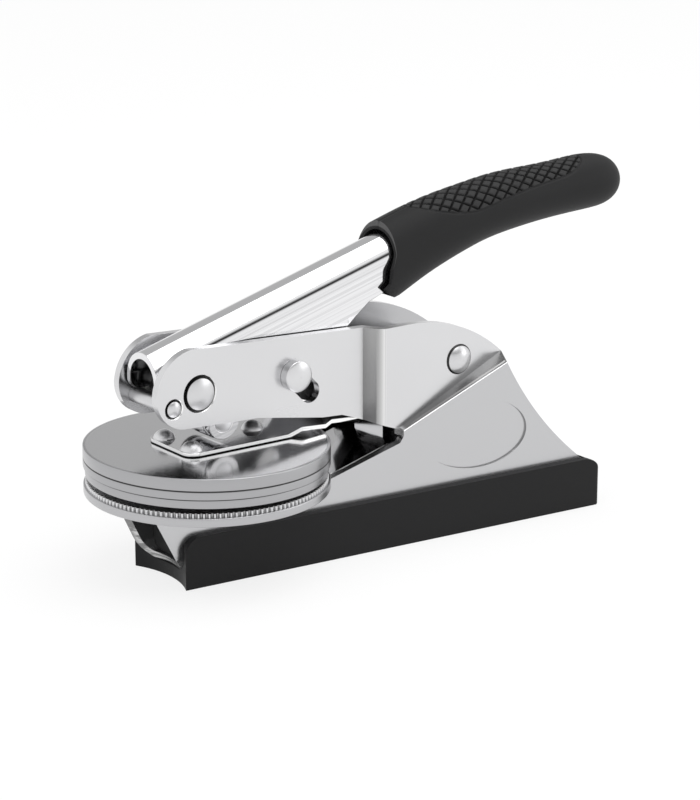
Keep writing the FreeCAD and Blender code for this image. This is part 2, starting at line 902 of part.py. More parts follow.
def roller():
    half = handle_half - handle_sheet - roller_gap
    x = pivot_x + roller_dx
    z = pivot_z + roller_dz
    wheel = cross_rod(x, z, roller_radius, -half, half)
    rims = [e for e in wheel.Edges if isinstance(e.Curve, Part.Circle)]
    wheel = wheel.makeChamfer(disc_edge, rims)
    return wheel.cut(cross_rod(x, z, roller_pin_radius + run_gap, -half - over, half + over))


def station_wire(x, z, half_height, half_width, slope):
    """Oval section of the grip, square to its run."""
    stretch = FreeCAD.Matrix()
    stretch.scale(half_height, half_width, 1)
    edge = Part.makeCircle(1).transformGeometry(stretch)
    edge.rotate(Vector(), Y_AXIS, 90)
    edge.rotate(Vector(), Y_AXIS, -slope)
    edge.translate(Vector(x, 0, z))
    return Part.Wire(edge)


def handle_grip(lever):
    """Moulded grip round the rear of the channel, with an open collar at its mouth."""
    wires = []
    for reach, rise, height, width, slope in grip_station_shares:
        wires.append(station_wire(
            grip_front_x + reach * grip_reach,
            grip_front_z + rise * grip_rise,
            height * grip_half_height,
            width * grip_half_width,
            slope * grip_slope,
        ))
    body = Part.makeLoft(wires, True, False)
    edge = [(mouth_x + dx * mouth_depth, mouth_low_z + dz * mouth_height) for dx, dz in mouth_shares]
    low = mouth_low_z - grip_reach
    high = mouth_low_z + grip_reach
    ahead_x = grip_front_x - grip_reach
    ahead = [(ahead_x, low), (ahead_x, high), (edge[0][0], high)] + edge + [(edge[-1][0], low)]
    body = body.cut(side_prism(ahead, -shoe_rear_half, shoe_rear_half))
    collar_x = edge[1][0] + mouth_step
    collar = block(handle_front_x, collar_x, handle_half + over, pivot_z, pivot_z + far)
    mouth = handle_stock(-mouth_gap).common(collar)
    mouth = mouth.common(side_prism(handle_outline(), -shoe_rear_half, shoe_rear_half))
    return body.cut(mouth).cut(lever)


# Return pin and spring

def return_pin():
    """Pin with a round head outside the near arm."""
    shank = cross_rod(slot_x, slot_z, return_radius, -arm_half - run_gap, arm_half + run_gap + collar_thick)
    y = -arm_half - run_gap
    head = cross_rod(slot_x, slot_z, return_head_radius, y - return_head + pin_crown, y)
    cap = cross_dome(slot_x, slot_z, return_head_radius, pin_crown, y - return_head + pin_crown, -1)
    return fused([shank, head, cap])


def return_pin_collar():
    """Collar pressed on the far end of the pin."""
    y = arm_half + run_gap
    ring = cross_rod(slot_x, slot_z, collar_radius, y, y + collar_thick)
    return ring.cut(cross_rod(slot_x, slot_z, return_radius, y - over, y + collar_thick + over))


def hook(x, z, radius):
    """Ring of wire round a cross pin."""
    return Part.makeTorus(radius + hook_gap + spring_wire, spring_wire, Vector(x, 0, z), Y_AXIS)


def return_spring():
    """Close coil between a hook on the main pivot and a hook on the return pin."""
    pitch = spring_length / spring_turns
    helix = Part.makeHelix(pitch, spring_length, spring_coil)
    profile = Part.Wire(Part.makeCircle(spring_wire, Vector(spring_coil, 0, 0), Vector(0, 1, 0)))
    coil = Part.Wire(helix.Edges).makePipeShell([profile], True, True)
    coil.rotate(Vector(), Y_AXIS, 90)
    start = pivot_x + spring_start
    coil.translate(Vector(start, 0, pivot_z))
    front = hook(pivot_x, pivot_z, pivot_radius)
    rear = hook(slot_x, slot_z, return_radius)
    front_x = pivot_x + pivot_radius + hook_gap + spring_wire
    rear_x = slot_x - return_radius - hook_gap - spring_wire
    legs = []
    for x0, x1, end in ((front_x, start, start), (start + spring_length, rear_x, start + spring_length)):
        legs.append(Part.makeCylinder(spring_wire, x1 - x0, Vector(x0, 0, pivot_z), Vector(1, 0, 0)))
        riser = Part.makeCylinder(spring_wire, spring_coil, Vector(end, 0, pivot_z), Vector(0, 0, -1))
        legs.append(riser)
        legs.append(Part.makeSphere(spring_wire, Vector(end, 0, pivot_z)))
    return fused([coil, front, rear] + legs)


def build():
    lever = handle_lever()
    nodes = {
        "base_shoe": base_shoe(),
        "foot_pads": foot_pads(),
        "base_screws": base_screws(),
        "frame": frame(),
        "front_block": front_block(),
        "seat_block": seat_block(),
        "main_pivot_pin": main_pivot_pin(),
        "pivot_washers": pivot_washers(),
        "front_stop_pin": front_stop_pin(),
        "rear_tie_rivet": rear_tie_rivet(),
        "rear_tie_tube": rear_tie_tube(),
        "lower_leaf": lower_leaf(),
        "lower_disc": lower_disc(),
        "lower_die": lower_die(),
        "lower_disc_rivets": lower_disc_rivets(),
        "insert_spacer": insert_spacer(),
        "insert_rivets": insert_rivets(),
        "upper_leaf": upper_leaf(),
        "upper_disc": upper_disc(),
        "backing_disc": backing_disc(),
        "upper_die": upper_die(),
        "upper_disc_rivets": upper_disc_rivets(),
        "handle_lever": lever,
        "handle_grip": handle_grip(lever),
        "roller_pin": roller_pin(),
        "roller": roller(),
        "return_pin": return_pin(),
        "return_pin_collar": return_pin_collar(),
        "return_spring": return_spring(),
    }
    for name, shape in nodes.items():
        box = shape.BoundBox
        print(name, shape.isValid(), len(shape.Solids), round(shape.Volume, 1),
              [round(v, 1) for v in (box.XMin, box.XMax, box.YMin, box.YMax, box.ZMin, box.ZMax)])
        shape.exportStep(os.path.join("parts", name + ".step"))


build()
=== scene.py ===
import math

import bpy
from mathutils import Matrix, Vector


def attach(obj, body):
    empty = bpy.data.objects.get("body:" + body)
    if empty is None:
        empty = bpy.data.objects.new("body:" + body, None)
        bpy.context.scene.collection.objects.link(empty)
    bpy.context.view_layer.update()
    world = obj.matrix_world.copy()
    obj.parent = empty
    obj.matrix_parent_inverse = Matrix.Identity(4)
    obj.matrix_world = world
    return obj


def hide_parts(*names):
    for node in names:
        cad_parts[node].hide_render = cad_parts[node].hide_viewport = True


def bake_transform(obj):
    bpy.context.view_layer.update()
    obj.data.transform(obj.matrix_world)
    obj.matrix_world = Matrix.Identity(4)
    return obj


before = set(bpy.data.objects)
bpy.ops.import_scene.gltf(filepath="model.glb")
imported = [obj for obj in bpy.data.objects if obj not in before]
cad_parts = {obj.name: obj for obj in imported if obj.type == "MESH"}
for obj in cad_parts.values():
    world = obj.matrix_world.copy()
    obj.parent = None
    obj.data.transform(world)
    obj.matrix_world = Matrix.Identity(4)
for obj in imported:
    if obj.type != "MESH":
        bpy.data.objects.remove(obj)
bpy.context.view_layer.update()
mm = 0.001


# Base shoe: one moulding in matt black plastic that the folded frame drops into. Its front edge
# is hollow in plan, and its edges are only just broken, so they catch a thin line of light.

class Value:
    """One output of a shader node. Sums on it add the Math nodes that they need."""

    def __init__(self, nodes, socket):
        self.nodes = nodes
        self.socket = socket

    def _sum(self, operation, *parts):
        return self.nodes.node("ShaderNodeMath", {"operation": operation}, *parts)

    def __add__(self, other):
        return self._sum("ADD", self, other)

    def __radd__(self, other):
        return self._sum("ADD", other, self)

    def __sub__(self, other):
        return self._sum("SUBTRACT", self, other)

    def __rsub__(self, other):
        return self._sum("SUBTRACT", other, self)

    def __mul__(self, other):
        return self._sum("MULTIPLY", self, other)

    def __rmul__(self, other):
        return self._sum("MULTIPLY", other, self)

    def __truediv__(self, other):
        return self._sum("DIVIDE", self, other)

    def __rtruediv__(self, other):
        return self._sum("DIVIDE", other, self)

    def __pow__(self, other):
        return self._sum("POWER", self, other)

    def __abs__(self):
        return self._sum("ABSOLUTE", self)

    def least(self, other):
        return self._sum("MINIMUM", self, other)

    def most(self, other):
        return self._sum("MAXIMUM", self, other)

    def step(self, low, high):
        """0 up to low and 1 from high on, smooth between. It falls where low is above high."""
        smooth = {"interpolation_type": "SMOOTHSTEP"}
        return self.nodes.node("ShaderNodeMapRange", smooth, self, low, high, 0.0, 1.0)

    def band(self, start, full, fading, end):
        """1 from full to fading, 0 before start and past end, smooth between."""
        return self.step(start, full) * self.step(end, fading)


class Nodes:
    """A node tree. node() adds any node to it and gives one of the node's outputs."""

    def __init__(self, tree):
        self.tree = tree

    def fill(self, socket, value):
        """Link a socket to a value or set it. None leaves it as it is."""
        if isinstance(value, Value):
            self.tree.links.new(value.socket, socket)
        elif value is not None:
            socket.default_value = value

    def node(self, kind, settings=None, *inputs, out=0):
        made = self.tree.nodes.new(kind)
        for name, value in (settings or {}).items():
            setattr(made, name, value)
        for socket, value in zip(made.inputs, inputs):
            self.fill(socket, value)
        return Value(self, made.outputs[out])

    def xyz(self, place):
        split = self.node("ShaderNodeSeparateXYZ", None, place).socket.node
        return [Value(self, output) for output in split.outputs]

    def blend(self, share, low, high):
        """A colour from low to high."""
        low, high = (value if isinstance(value, Value) else (*value, 1.0) for value in (low, high))
        number_and_vector_sockets = [None] * 5
        return self.node(
            "ShaderNodeMix", {"data_type": "RGBA"}, share, *number_and_vector_sockets, low, high, out=2)


class Paint(Nodes):
    """A material with one Principled shader, which feed() sets or links."""

    def __init__(self, name, colour, roughness, metallic=0.0, specular=0.5):
        self.material = bpy.data.materials.new(name)
        self.material.use_nodes = True
        super().__init__(self.material.node_tree)
        self.feed("Base Color", (*colour, 1.0))
        self.feed("Roughness", roughness)
        self.feed("Metallic", metallic)
        self.feed("Specular IOR Level", specular)
        self.place = self.node("ShaderNodeTexCoord", out="Object")

    def feed(self, socket, value):
        self.fill(self.tree.nodes["Principled BSDF"].inputs[socket], value)

    def here(self):
        """Where a point of the piece lies, in mm."""
        return [part / mm for part in self.xyz(self.place)]

    def facing(self, normal="True Normal"):
        """The way that the surface faces there."""
        return self.xyz(self.node("ShaderNodeNewGeometry", out=normal))

    def stretched(self, x, y, z):
        """Object coordinates scaled along each axis, for grain that runs one way."""
        return self.node("ShaderNodeVectorMath", {"operation": "MULTIPLY"}, self.place, (x, y, z))

    def noise(self, scale, detail, place=None):
        return self.node("ShaderNodeTexNoise", None, place or self.place, None, scale, detail)

    def lines(self, value, scale, detail):
        """Noise along one value, for turned rings and drawn lines."""
        return self.node("ShaderNodeTexNoise", {"noise_dimensions": "1D"}, None, value, scale, detail)

    def relief(self, height, depth):
        """Bump of a height from 0 to 1 and a depth in mm."""
        self.feed("Normal", self.node("ShaderNodeBump", None, 1.0, depth * mm, None, height))


def only(piece):
    """Select one piece and make it active."""
    bpy.ops.object.select_all(action="DESELECT")
    piece.select_set(True)
    bpy.context.view_layer.objects.active = piece


merge_gap = 0.002
flat_below = math.radians(0.3)
broken_above = math.radians(40.0)
smooth_below = math.radians(35.0)


def merged_copy(node):
    """Copy of a CAD piece with its loose faces merged."""
    piece = bpy.data.objects.new(node + "_skin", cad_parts[node].data.copy())
    bpy.context.scene.collection.objects.link(piece)
    only(piece)
    bpy.ops.object.mode_set(mode="EDIT")
    bpy.ops.mesh.select_all(action="SELECT")
    bpy.ops.mesh.remove_doubles(threshold=merge_gap * mm)
    bpy.ops.mesh.dissolve_limited(angle_limit=flat_below)
    bpy.ops.object.mode_set(mode="OBJECT")
    return piece


def softened(node, body, paint, edge=0.0, piece=None):
    """Skin of a CAD piece, its edges broken by a small round and its curves smooth."""
    piece = piece or merged_copy(node)
    only(piece)
    if edge:
        bevel = piece.modifiers.new("edge", "BEVEL")
        bevel.width = edge * mm
        bevel.segments = 2
        bevel.limit_method = "ANGLE"
        bevel.angle_limit = broken_above
        bevel.use_clamp_overlap = True
        bevel.harden_normals = False
        bpy.ops.object.modifier_apply(modifier="edge")
    bpy.ops.object.shade_smooth_by_angle(angle=smooth_below)
    weighted = piece.modifiers.new("weighted", "WEIGHTED_NORMAL")
    weighted.keep_sharp = True
    bpy.ops.object.modifier_apply(modifier="weighted")
    piece.data.materials.clear()
    piece.data.materials.append(paint.material)
    if body:
        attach(piece, body)
    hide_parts(node)
    return piece


def coat(node, paint):
    """Give a CAD piece its finish as it is."""
    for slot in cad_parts[node].material_slots:
        slot.material = paint.material


shoe_black = (0.008, 0.008, 0.0085)
shoe_edge = 0.25
moulded_grain = 0.02
black_plastic = Paint("moulded_black_plastic", shoe_black, 0.45, specular=0.22)
grain = black_plastic.noise(2600.0, 3.0)
black_plastic.feed("Roughness", 0.4 + grain * 0.14)
black_plastic.relief(grain, moulded_grain)
softened("base_shoe", "base", black_plastic, shoe_edge)


# Feet and base screws: four strips of grey rubber let into the underside, and four zinc-plated
# screws with sunk heads that hold the frame down on the shoe.

rubber_grey = (0.045, 0.045, 0.046)
rubber_grain = 0.05
rubber = Paint("foot_rubber", rubber_grey, 0.75)
rubber.relief(rubber.noise(1800.0, 4.0), rubber_grain)
coat("foot_pads", rubber)

zinc_grey = (0.62, 0.62, 0.6)
zinc = Paint("zinc_plate", zinc_grey, 0.34, 1.0)
zinc.feed("Roughness", 0.28 + zinc.noise(900.0, 3.0) * 0.2)
coat("base_screws", zinc)


# Folded frame: two-millimetre steel, cut, pressed and nickel plated. Arms, joggles, rear plates and
# the flared trough are one folding, bright on the faces, with a painted highlight on the broken edges.

bright_steel = Paint("bright_nickel_sheet", (0.68, 0.68, 0.69), 0.25, 1.0)
mill = bright_steel.noise(160.0, 3.0, bright_steel.stretched(1.0, 1.0, 5.0))
cloud = bright_steel.noise(34.0, 2.0)
toward_x, toward_y, toward_z = bright_steel.facing()
round_x = bright_steel.facing("Normal")[0]
along, across, up = bright_steel.here()
aside = abs(across)

# Two numbers are the start and the end of a soft border, four the borders of a band. Places are in mm,
# and the way that a face looks runs from -1 to 1.
level, leaning_up = (0.84, 0.88), (0.1, 0.3)

# The ledge starts at the throat and climbs to the rear. It and the fold above it are rougher, and painted
# darker as painted shade, darkest towards the front.
ledge_x, ledge_z, ledge_slope = 1.8, 28.0, 0.42626
ledge_side, fold_side = (13.05, 13.3), (12.9, 13.0, 13.3, 13.5)
ledge_front, ledge_top, ledge_fading = (1.0, 3.0), (44.0, 43.0), (10.0, 30.0)
ledge_rise = (along - ledge_x) * ledge_slope
sloping = toward_z.step(*level) * aside.step(*ledge_side)
fold = toward_z.step(*leaning_up) * aside.band(*fold_side)
ledge = (sloping + fold).least(1.0) * along.step(*ledge_front) * up.step(*ledge_top)
ledge_shade_tone = bright_steel.blend(along.step(*ledge_fading), (0.13, 0.13, 0.13), (0.33, 0.33, 0.33))

# Its outer edge is rolled over, shown by a bump, and a thin painted highlight runs along it above the flared
# plate; the broken edges get a painted highlight too.
rolled_height, rolled_side, rolled_run = (-0.42, 0.0, 0.05, 0.15), (14.1, 14.3), (1.6, 1.7, 30.9, 31.0)
rolled = (up - ledge_z - ledge_rise).band(*rolled_height) * aside.step(*rolled_side)
rolled = rolled * along.band(*rolled_run)
brim_highlight_share, edge_facing = 0.35, (0.25, 0.35, 0.94, 0.97)
brim_highlight = rolled.step(0.05, 0.3) * brim_highlight_share
broken = abs(toward_y).band(*edge_facing)

# The flared plates and the inner faces are painted darker than the arms, and the throat near black, all as
# painted shade.
plate_top_z, plate_border = 28.1, (0.15, -0.05)
throat_top, throat_run = (39.0, 35.0), (-14.0, -6.0, 9.0, 16.0)
joggle_facing, joggle_start, joggle_fading = (-0.1, -0.8), (-8.5, -7.5), (-7.8, -4.6)
flared = (up - (plate_top_z + ledge_rise).most(plate_top_z)).step(*plate_border)
inner = (across * toward_y).step(-1.0, -4.0)
throat = inner * up.step(*throat_top) * along.band(*throat_run)
# The joggle is painted darker as painted shade, darkest at its front end.
joggle = round_x.step(*joggle_facing) * along.step(*joggle_start)
joggle_shade_tone = bright_steel.blend(along.step(*joggle_fading), (0.2, 0.2, 0.2), (0.38, 0.38, 0.38))

# The sheared front of the trough keeps the streaks of the cut along its bottom.
forward, front_end, front_top = (-0.35, -0.6), (-35.0, -42.0), (26.0, 22.0)
streak_side, streak_top = (9.0, 7.0), (13.0, 10.0)
cut_front = toward_x.step(*forward) * along.step(*front_end) * up.step(*front_top)
streak = bright_steel.noise(700.0, 2.0, bright_steel.stretched(1.0, 0.15, 2.0)).step(0.4, 0.62)
streak = streak * aside.step(*streak_side) * up.step(*streak_top)
cut_tone = bright_steel.blend(streak, (0.27, 0.27, 0.27), (0.7, 0.7, 0.7))

tone = bright_steel.blend(cloud, (0.65, 0.65, 0.66), (0.71, 0.71, 0.72))
for share, finish in (
    (flared, (0.54, 0.54, 0.55)),
    (inner, (0.5, 0.5, 0.51)),
    (broken.most(brim_highlight), (0.96, 0.96, 0.96)),
    (throat, (0.04, 0.04, 0.04)),
    (joggle, joggle_shade_tone),
    (cut_front, cut_tone),
    (ledge, ledge_shade_tone),
):
    tone = bright_steel.blend(share, tone, finish)
rolled_depth = 0.28
bright_steel.feed("Base Color", tone)
bright_steel.feed("Roughness", 0.2 + mill * 0.05 + cloud * 0.06 + ledge * 0.15)
bright_steel.relief(1 - rolled + mill * 0.007, rolled_depth)


def pick(piece, kind, wanted):
    """Go into edit mode with the wanted vertices, edges or faces selected."""
    only(piece)
    bpy.ops.object.mode_set(mode="EDIT")
    bpy.ops.mesh.select_mode(type=kind)
    bpy.ops.mesh.select_all(action="DESELECT")
    bpy.ops.object.mode_set(mode="OBJECT")
    mesh = piece.data
    for element in {"VERT": mesh.vertices, "EDGE": mesh.edges, "FACE": mesh.polygons}[kind]:
        element.select = wanted(element)
    bpy.ops.object.mode_set(mode="EDIT")


def rounded(piece, wanted, width, segments):
    """Round the edges whose two ends are wanted. Their places are in mm."""
    spots = [vertex.co / mm for vertex in piece.data.vertices]
    pick(piece, "EDGE", lambda edge: all(wanted(spots[number]) for number in edge.vertices))
    bpy.ops.mesh.bevel(offset=width * mm, offset_type="OFFSET", segments=segments, affect="EDGES")
    bpy.ops.object.mode_set(mode="OBJECT")


def cylinder(name, sides, radius, length, centre, lying=False):
    """Plain cylinder to start from, upright or lying across the object, its place in its mesh."""
    bpy.ops.object.select_all(action="DESELECT")
    bpy.ops.mesh.primitive_cylinder_add(
        vertices=sides, radius=radius * mm, depth=length * mm, location=[part * mm for part in centre],
        rotation=(math.radians(90.0) if lying else 0.0, 0.0, 0.0))
    piece = bpy.context.active_object
    piece.name = name
    bpy.ops.object.transform_apply(location=True, rotation=True, scale=False)
    return piece


folding = merged_copy("frame")
pivot_x, pivot_z, pivot_radius = -52.0, 45.3, 3.9
stop_x, stop_z, stop_radius = -59.0, 42.9, 1.9
bore_gap, bore_chamfer = 0.05, 0.5
arm_face_y = 8.8
near = 0.03
for x, z, radius in ((pivot_x, pivot_z, pivot_radius + bore_gap), (stop_x, stop_z, stop_radius + bore_gap)):
    rounded(folding, lambda spot: abs(math.hypot(spot.x - x, spot.z - z) - radius) < near
            and abs(abs(spot.y) - arm_face_y) < near, bore_chamfer, 1)
bend_x, bend_y, bend_round = -3.4, 13.0, 1.8
rounded(folding, lambda spot: abs(spot.x - bend_x) < near and abs(abs(spot.y) - bend_y) < near, bend_round, 6)

# The near flared plate has a shallow oval pressed into it, left bare.
oval_x, oval_z, oval_half_length, oval_half_height, oval_depth = 22.0, 23.9, 15.0, 8.6, 0.5
plate_front_x, plate_front_y, plate_flare = -57.8, 8.6, 0.09948
oval_y = -(plate_front_y + plate_flare * (oval_x - plate_front_x))
oval_lean = math.radians(5.0)
stamp_length = 4.0
stamp = cylinder("oval_stamp", 128, 1.0, stamp_length, (0, 0, 0))
bpy.ops.object.mode_set(mode="EDIT")
bpy.ops.mesh.select_all(action="SELECT")
bpy.ops.transform.resize(value=(oval_half_length, oval_half_height, 1.0))
bpy.ops.object.mode_set(mode="OBJECT")
plate_turn = math.atan(plate_flare)
outward = Vector((-math.sin(plate_turn), -math.cos(plate_turn), 0.0))
stamp.rotation_euler = (math.radians(90.0), oval_lean, -plate_turn)
stamp.location = (Vector((oval_x, oval_y, oval_z)) + outward * (stamp_length / 2 - oval_depth)) * mm
press = folding.modifiers.new("oval", "BOOLEAN")
press.operation = "DIFFERENCE"
press.solver = "EXACT"
press.object = stamp
only(folding)
bpy.ops.object.modifier_apply(modifier="oval")
bpy.data.objects.remove(stamp)
frame_edge = 0.2
softened("frame", "base", bright_steel, frame_edge, piece=folding)


# Blocks inside the frame: black mouldings that the screws bite into and the insert rests on. They
# share the shoe's finish and are hardly seen.

coat("front_block", black_plastic)
coat("seat_block", black_plastic)


# Lower half of the insert: a spring-steel leaf with the lower disc riveted on, and on the disc
# the thin counter die, whose rim is cut into fine teeth.

polished_steel = (0.7, 0.7, 0.71)


def drawn_steel(name):
    """Polished spring steel, drawn along the leaf."""
    paint = Paint(name, polished_steel, 0.1, 1.0)
    draw = paint.noise(220.0, 4.0, paint.stretched(1.0, 12.0, 12.0))
    paint.feed("Roughness", 0.07 + draw * 0.08)
    return paint


lower_leaf_edge = 0.12
spring_steel = drawn_steel("polished_spring_steel")
softened("lower_leaf", "base", spring_steel, lower_leaf_edge)
softened("lower_disc_rivets", "base", spring_steel)

disc_x, disc_radius, die_radius = -44.4, 28.48, 28.0
rivet_x, seat_z, jaw_opening = 7.0, 25.6, math.radians(0.82)
backing_low_z, backing_high_z = 24.72, 26.77


def from_centre(paint):
    """How far a point is from the discs' axis, in mm."""
    x, y, _ = paint.here()
    out_x = x - disc_x
    return (out_x * out_x + y * y) ** 0.5


disc_metal = Paint("turned_disc_metal", (0.62, 0.62, 0.63), 0.2, 1.0)
along, _, up = disc_metal.here()
rim_start, joint_border, upper_discs = (27.6, 28.0), (0.26, 0.12), (22.0, 22.4)
reach = from_centre(disc_metal)
turned = disc_metal.lines(reach, 6.0, 3.0)
rim = reach.step(*rim_start)
disc_metal.feed("Roughness", 0.09 + turned * 0.08 + rim * 0.16)
closed_z = up - (rivet_x - along) * math.tan(jaw_opening)
joint = abs(closed_z - backing_low_z).least(abs(closed_z - backing_high_z)).step(*joint_border) * rim
# The rims are painted darker than the faces as painted shade, the upper discs' rims darker still; the joints
# between the discs are dark lines.
rim_shade_tone = disc_metal.blend(up.step(*upper_discs), (0.48, 0.48, 0.49), (0.41, 0.41, 0.42))
tone = disc_metal.blend(rim, (0.64, 0.64, 0.65), rim_shade_tone)
disc_metal.feed("Base Color", disc_metal.blend(joint, tone, (0.1, 0.1, 0.1)))
turning_marks = 0.02
disc_metal.relief(turned * (1 - rim) * 0.12 + disc_metal.lines(up, 5.0, 3.0) * rim, turning_marks)

disc_rim, disc_border, disc_step = 0.25, 0.9, 6.0
rim_above = math.radians(50.0)


def turned_disc(node, radius, low, high):
    """Solid disc with rounded rims and a border on each face."""
    piece = cylinder(node + "_turned", 192, radius, high - low, (disc_x, 0, (low + high) / 2))
    pick(piece, "FACE", lambda face: abs(face.normal.z) > 0.9)
    bpy.ops.mesh.inset(thickness=disc_border * mm, depth=0.0)
    bpy.ops.mesh.inset(thickness=disc_step * mm, depth=0.0)
    bpy.ops.object.mode_set(mode="OBJECT")
    bevel = piece.modifiers.new("rim", "BEVEL")
    bevel.width = disc_rim * mm
    bevel.segments = 3
    bevel.limit_method = "ANGLE"
    bevel.angle_limit = rim_above
    bpy.ops.object.modifier_apply(modifier="rim")
    bpy.ops.object.shade_smooth_by_angle(angle=smooth_below)
    return piece


def seated(piece, node, body, paint):
    """The finished piece takes the CAD node's place on its body."""
    piece.data.materials.append(paint.material)
    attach(piece, body)
    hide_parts(node)


lower_disc_low_z, lower_disc_high_z = 19.5, 21.5
lower_disc = turned_disc("lower_disc", disc_radius, lower_disc_low_z, lower_disc_high_z)
seated(lower_disc, "lower_disc", "base", disc_metal)

# Each tooth takes four points of the rim, and the two between teeth are drawn in.
teeth, tooth_root, counter_die_height = 144, 0.983, 1.0
die_centre = (disc_x, 0, lower_disc_high_z + counter_die_height / 2)
counter_die = cylinder("lower_die_cut", 4 * teeth, die_radius, counter_die_height, die_centre)


def between_teeth(vertex):
    turn = math.atan2(vertex.co.y, vertex.co.x - disc_x * mm) % math.tau
    return round(turn * 4 * teeth / math.tau) % 4 < 2


pick(counter_die, "VERT", between_teeth)
bpy.ops.transform.resize(
    value=(tooth_root, tooth_root, 1.0), center_override=[part * mm for part in die_centre])
bpy.ops.object.mode_set(mode="OBJECT")
die_metal = Paint("counter_die_metal", (0.6, 0.6, 0.61), 0.3, 1.0)
# The roots between the teeth are painted darker as painted shade.
root_reach = (27.2, 27.4, 27.6, 27.95)
root = from_centre(die_metal).band(*root_reach)
die_metal.feed("Base Color", die_metal.blend(root, (0.72, 0.72, 0.73), (0.38, 0.38, 0.38)))
seated(counter_die, "lower_die", "base", die_metal)


# Rear of the insert: a hard spacer between the two leaves, and two rivets through all three. They
# are of the same polished steel as the leaves.

coat("insert_spacer", spring_steel)
softened("insert_rivets", "base", spring_steel)


# Upper half of the insert: the leaf that the roller presses, with the upper disc, its backing disc
# and the die riveted under it. The discs are made closed, then turned up to where they spring.

leaf_steel = drawn_steel("sprung_leaf_steel")
facing_z = leaf_steel.facing()[2]
along, _, up = leaf_steel.here()
upper_disc_high_z = 29.67
above_disc = up - upper_disc_high_z + (along - rivet_x) * math.tan(jaw_opening)
# The sides of the leaf are painted near white as painted highlight, and its underside and the foot of its
# sides over the disc near black as painted shade.
foot_height, foot_facing = (0.34, 0.26), (0.9, 0.7)
under_facing, side_facing = (-0.995, -0.97, -0.3, -0.1), (-0.12, 0.0, 0.6, 0.75)
foot_shadow_line = above_disc.step(*foot_height) * facing_z.step(*foot_facing)
under = facing_z.band(*under_facing)
side_highlight = facing_z.band(*side_facing)
tone = leaf_steel.blend(side_highlight, polished_steel, (0.95, 0.95, 0.95))
leaf_steel.feed("Base Color", leaf_steel.blend(under.most(foot_shadow_line), tone, (0.01, 0.01, 0.01)))
upper_leaf_edge = 0.3
softened("upper_leaf", "upper_jaw", leaf_steel, upper_leaf_edge)

upper_die_low_z = 22.62
for node, radius, low, high in (
    ("upper_die", die_radius, upper_die_low_z, backing_low_z),
    ("backing_disc", disc_radius, backing_low_z, backing_high_z),
    ("upper_disc", disc_radius, backing_high_z, upper_disc_high_z),
):
    disc = turned_disc(node, radius, low, high)
    only(disc)
    bpy.ops.object.mode_set(mode="EDIT")
    bpy.ops.mesh.select_all(action="SELECT")
    bpy.ops.transform.rotate(
        value=-jaw_opening, orient_axis="Y", orient_type="GLOBAL",
        center_override=(rivet_x * mm, 0.0, seat_z * mm))
    bpy.ops.object.mode_set(mode="OBJECT")
    seated(disc, node, "upper_jaw", disc_metal)

satin = Paint("satin_rivets", (0.74, 0.74, 0.75), 0.4, 1.0)
satin.feed("Roughness", 0.38 + satin.noise(500.0, 3.0) * 0.1)
softened("upper_disc_rivets", "upper_jaw", satin)


# Cross pins of the frame: the main pivot with its washers, the small stop pin ahead of it, and the
# rear rivet in its tube. Their domed ends are bright nickel.

def nickel(name, colour):
    paint = Paint(name, colour, 0.3, 1.0)
    paint.feed("Roughness", 0.26 + paint.noise(500.0, 3.0) * 0.1)
    return paint


def pin_metal(name, start, end):
    """Satin nickel with painted shade on the step round each dome, between two distances from the middle."""
    bright = (0.66, 0.66, 0.67)
    paint = nickel(name, bright)
    step = abs(paint.here()[1]).band(start - 0.1, start, end - 0.02, end + 0.08)
    paint.feed("Base Color", paint.blend(step, bright, (0.04, 0.04, 0.04)))
    return paint


shank_half, wall_lean = 8.6, 0.02
dome_shares = (1.0, 0.97, 0.9, 0.78, 0.62, 0.44, 0.26, 0.1)
dome_smooth_below = math.radians(40.0)


def domed_pin(node, paint, x, z, radius, step, side, crown):
    """Cross pin: shank, a step round each end, and a boss with a domed face on it."""
    piece = cylinder(node + "_domed", 72, radius, 2 * shank_half, (x, 0, z), lying=True)
    pick(piece, "FACE", lambda face: abs(face.normal.y) > 0.9)
    bpy.ops.mesh.inset(thickness=step * mm, depth=0.0)
    bpy.ops.mesh.inset(thickness=wall_lean * mm, depth=side * mm)
    boss = radius - step - wall_lean
    sphere = (boss ** 2 + crown ** 2) / (2 * crown)
    for outer, inner in zip(dome_shares, dome_shares[1:]):
        rise = math.sqrt(sphere ** 2 - (boss * inner) ** 2) - math.sqrt(sphere ** 2 - (boss * outer) ** 2)
        bpy.ops.mesh.inset(thickness=boss * (outer - inner) * mm, depth=rise * mm)
    bpy.ops.object.mode_set(mode="OBJECT")
    bpy.ops.object.shade_smooth_by_angle(angle=dome_smooth_below)
    seated(piece, node, "base", paint)


pivot_metal = pin_metal("pin_nickel", 8.2, 9.08)
stop_metal = pin_metal("stop_pin_nickel", 8.2, 8.8)
domed_pin("main_pivot_pin", pivot_metal, pivot_x, pivot_z, pivot_radius, 0.2, 0.5, 0.85)
domed_pin("front_stop_pin", stop_metal, stop_x, stop_z, stop_radius, 0.06, 0.25, 0.6)

turned_edge = 0.08
plain_pins = nickel("plain_pin_nickel", (0.7, 0.7, 0.71))
softened("rear_tie_rivet", "base", pin_metal("tie_nickel", 12.9, 13.4), turned_edge)
softened("rear_tie_tube", "base", plain_pins, turned_edge)

nylon_white = (0.62, 0.62, 0.58)
nylon_grain = 0.02
nylon = Paint("natural_nylon", nylon_white, 0.5)
nylon.relief(nylon.noise(1500.0, 2.0), nylon_grain)
softened("pivot_washers", "base", nylon)


# Handle: a channel pressed round from 1.5 mm steel and chromed, open at the front and below. A
# roller on a pin between its flanges bears on the upper leaf.

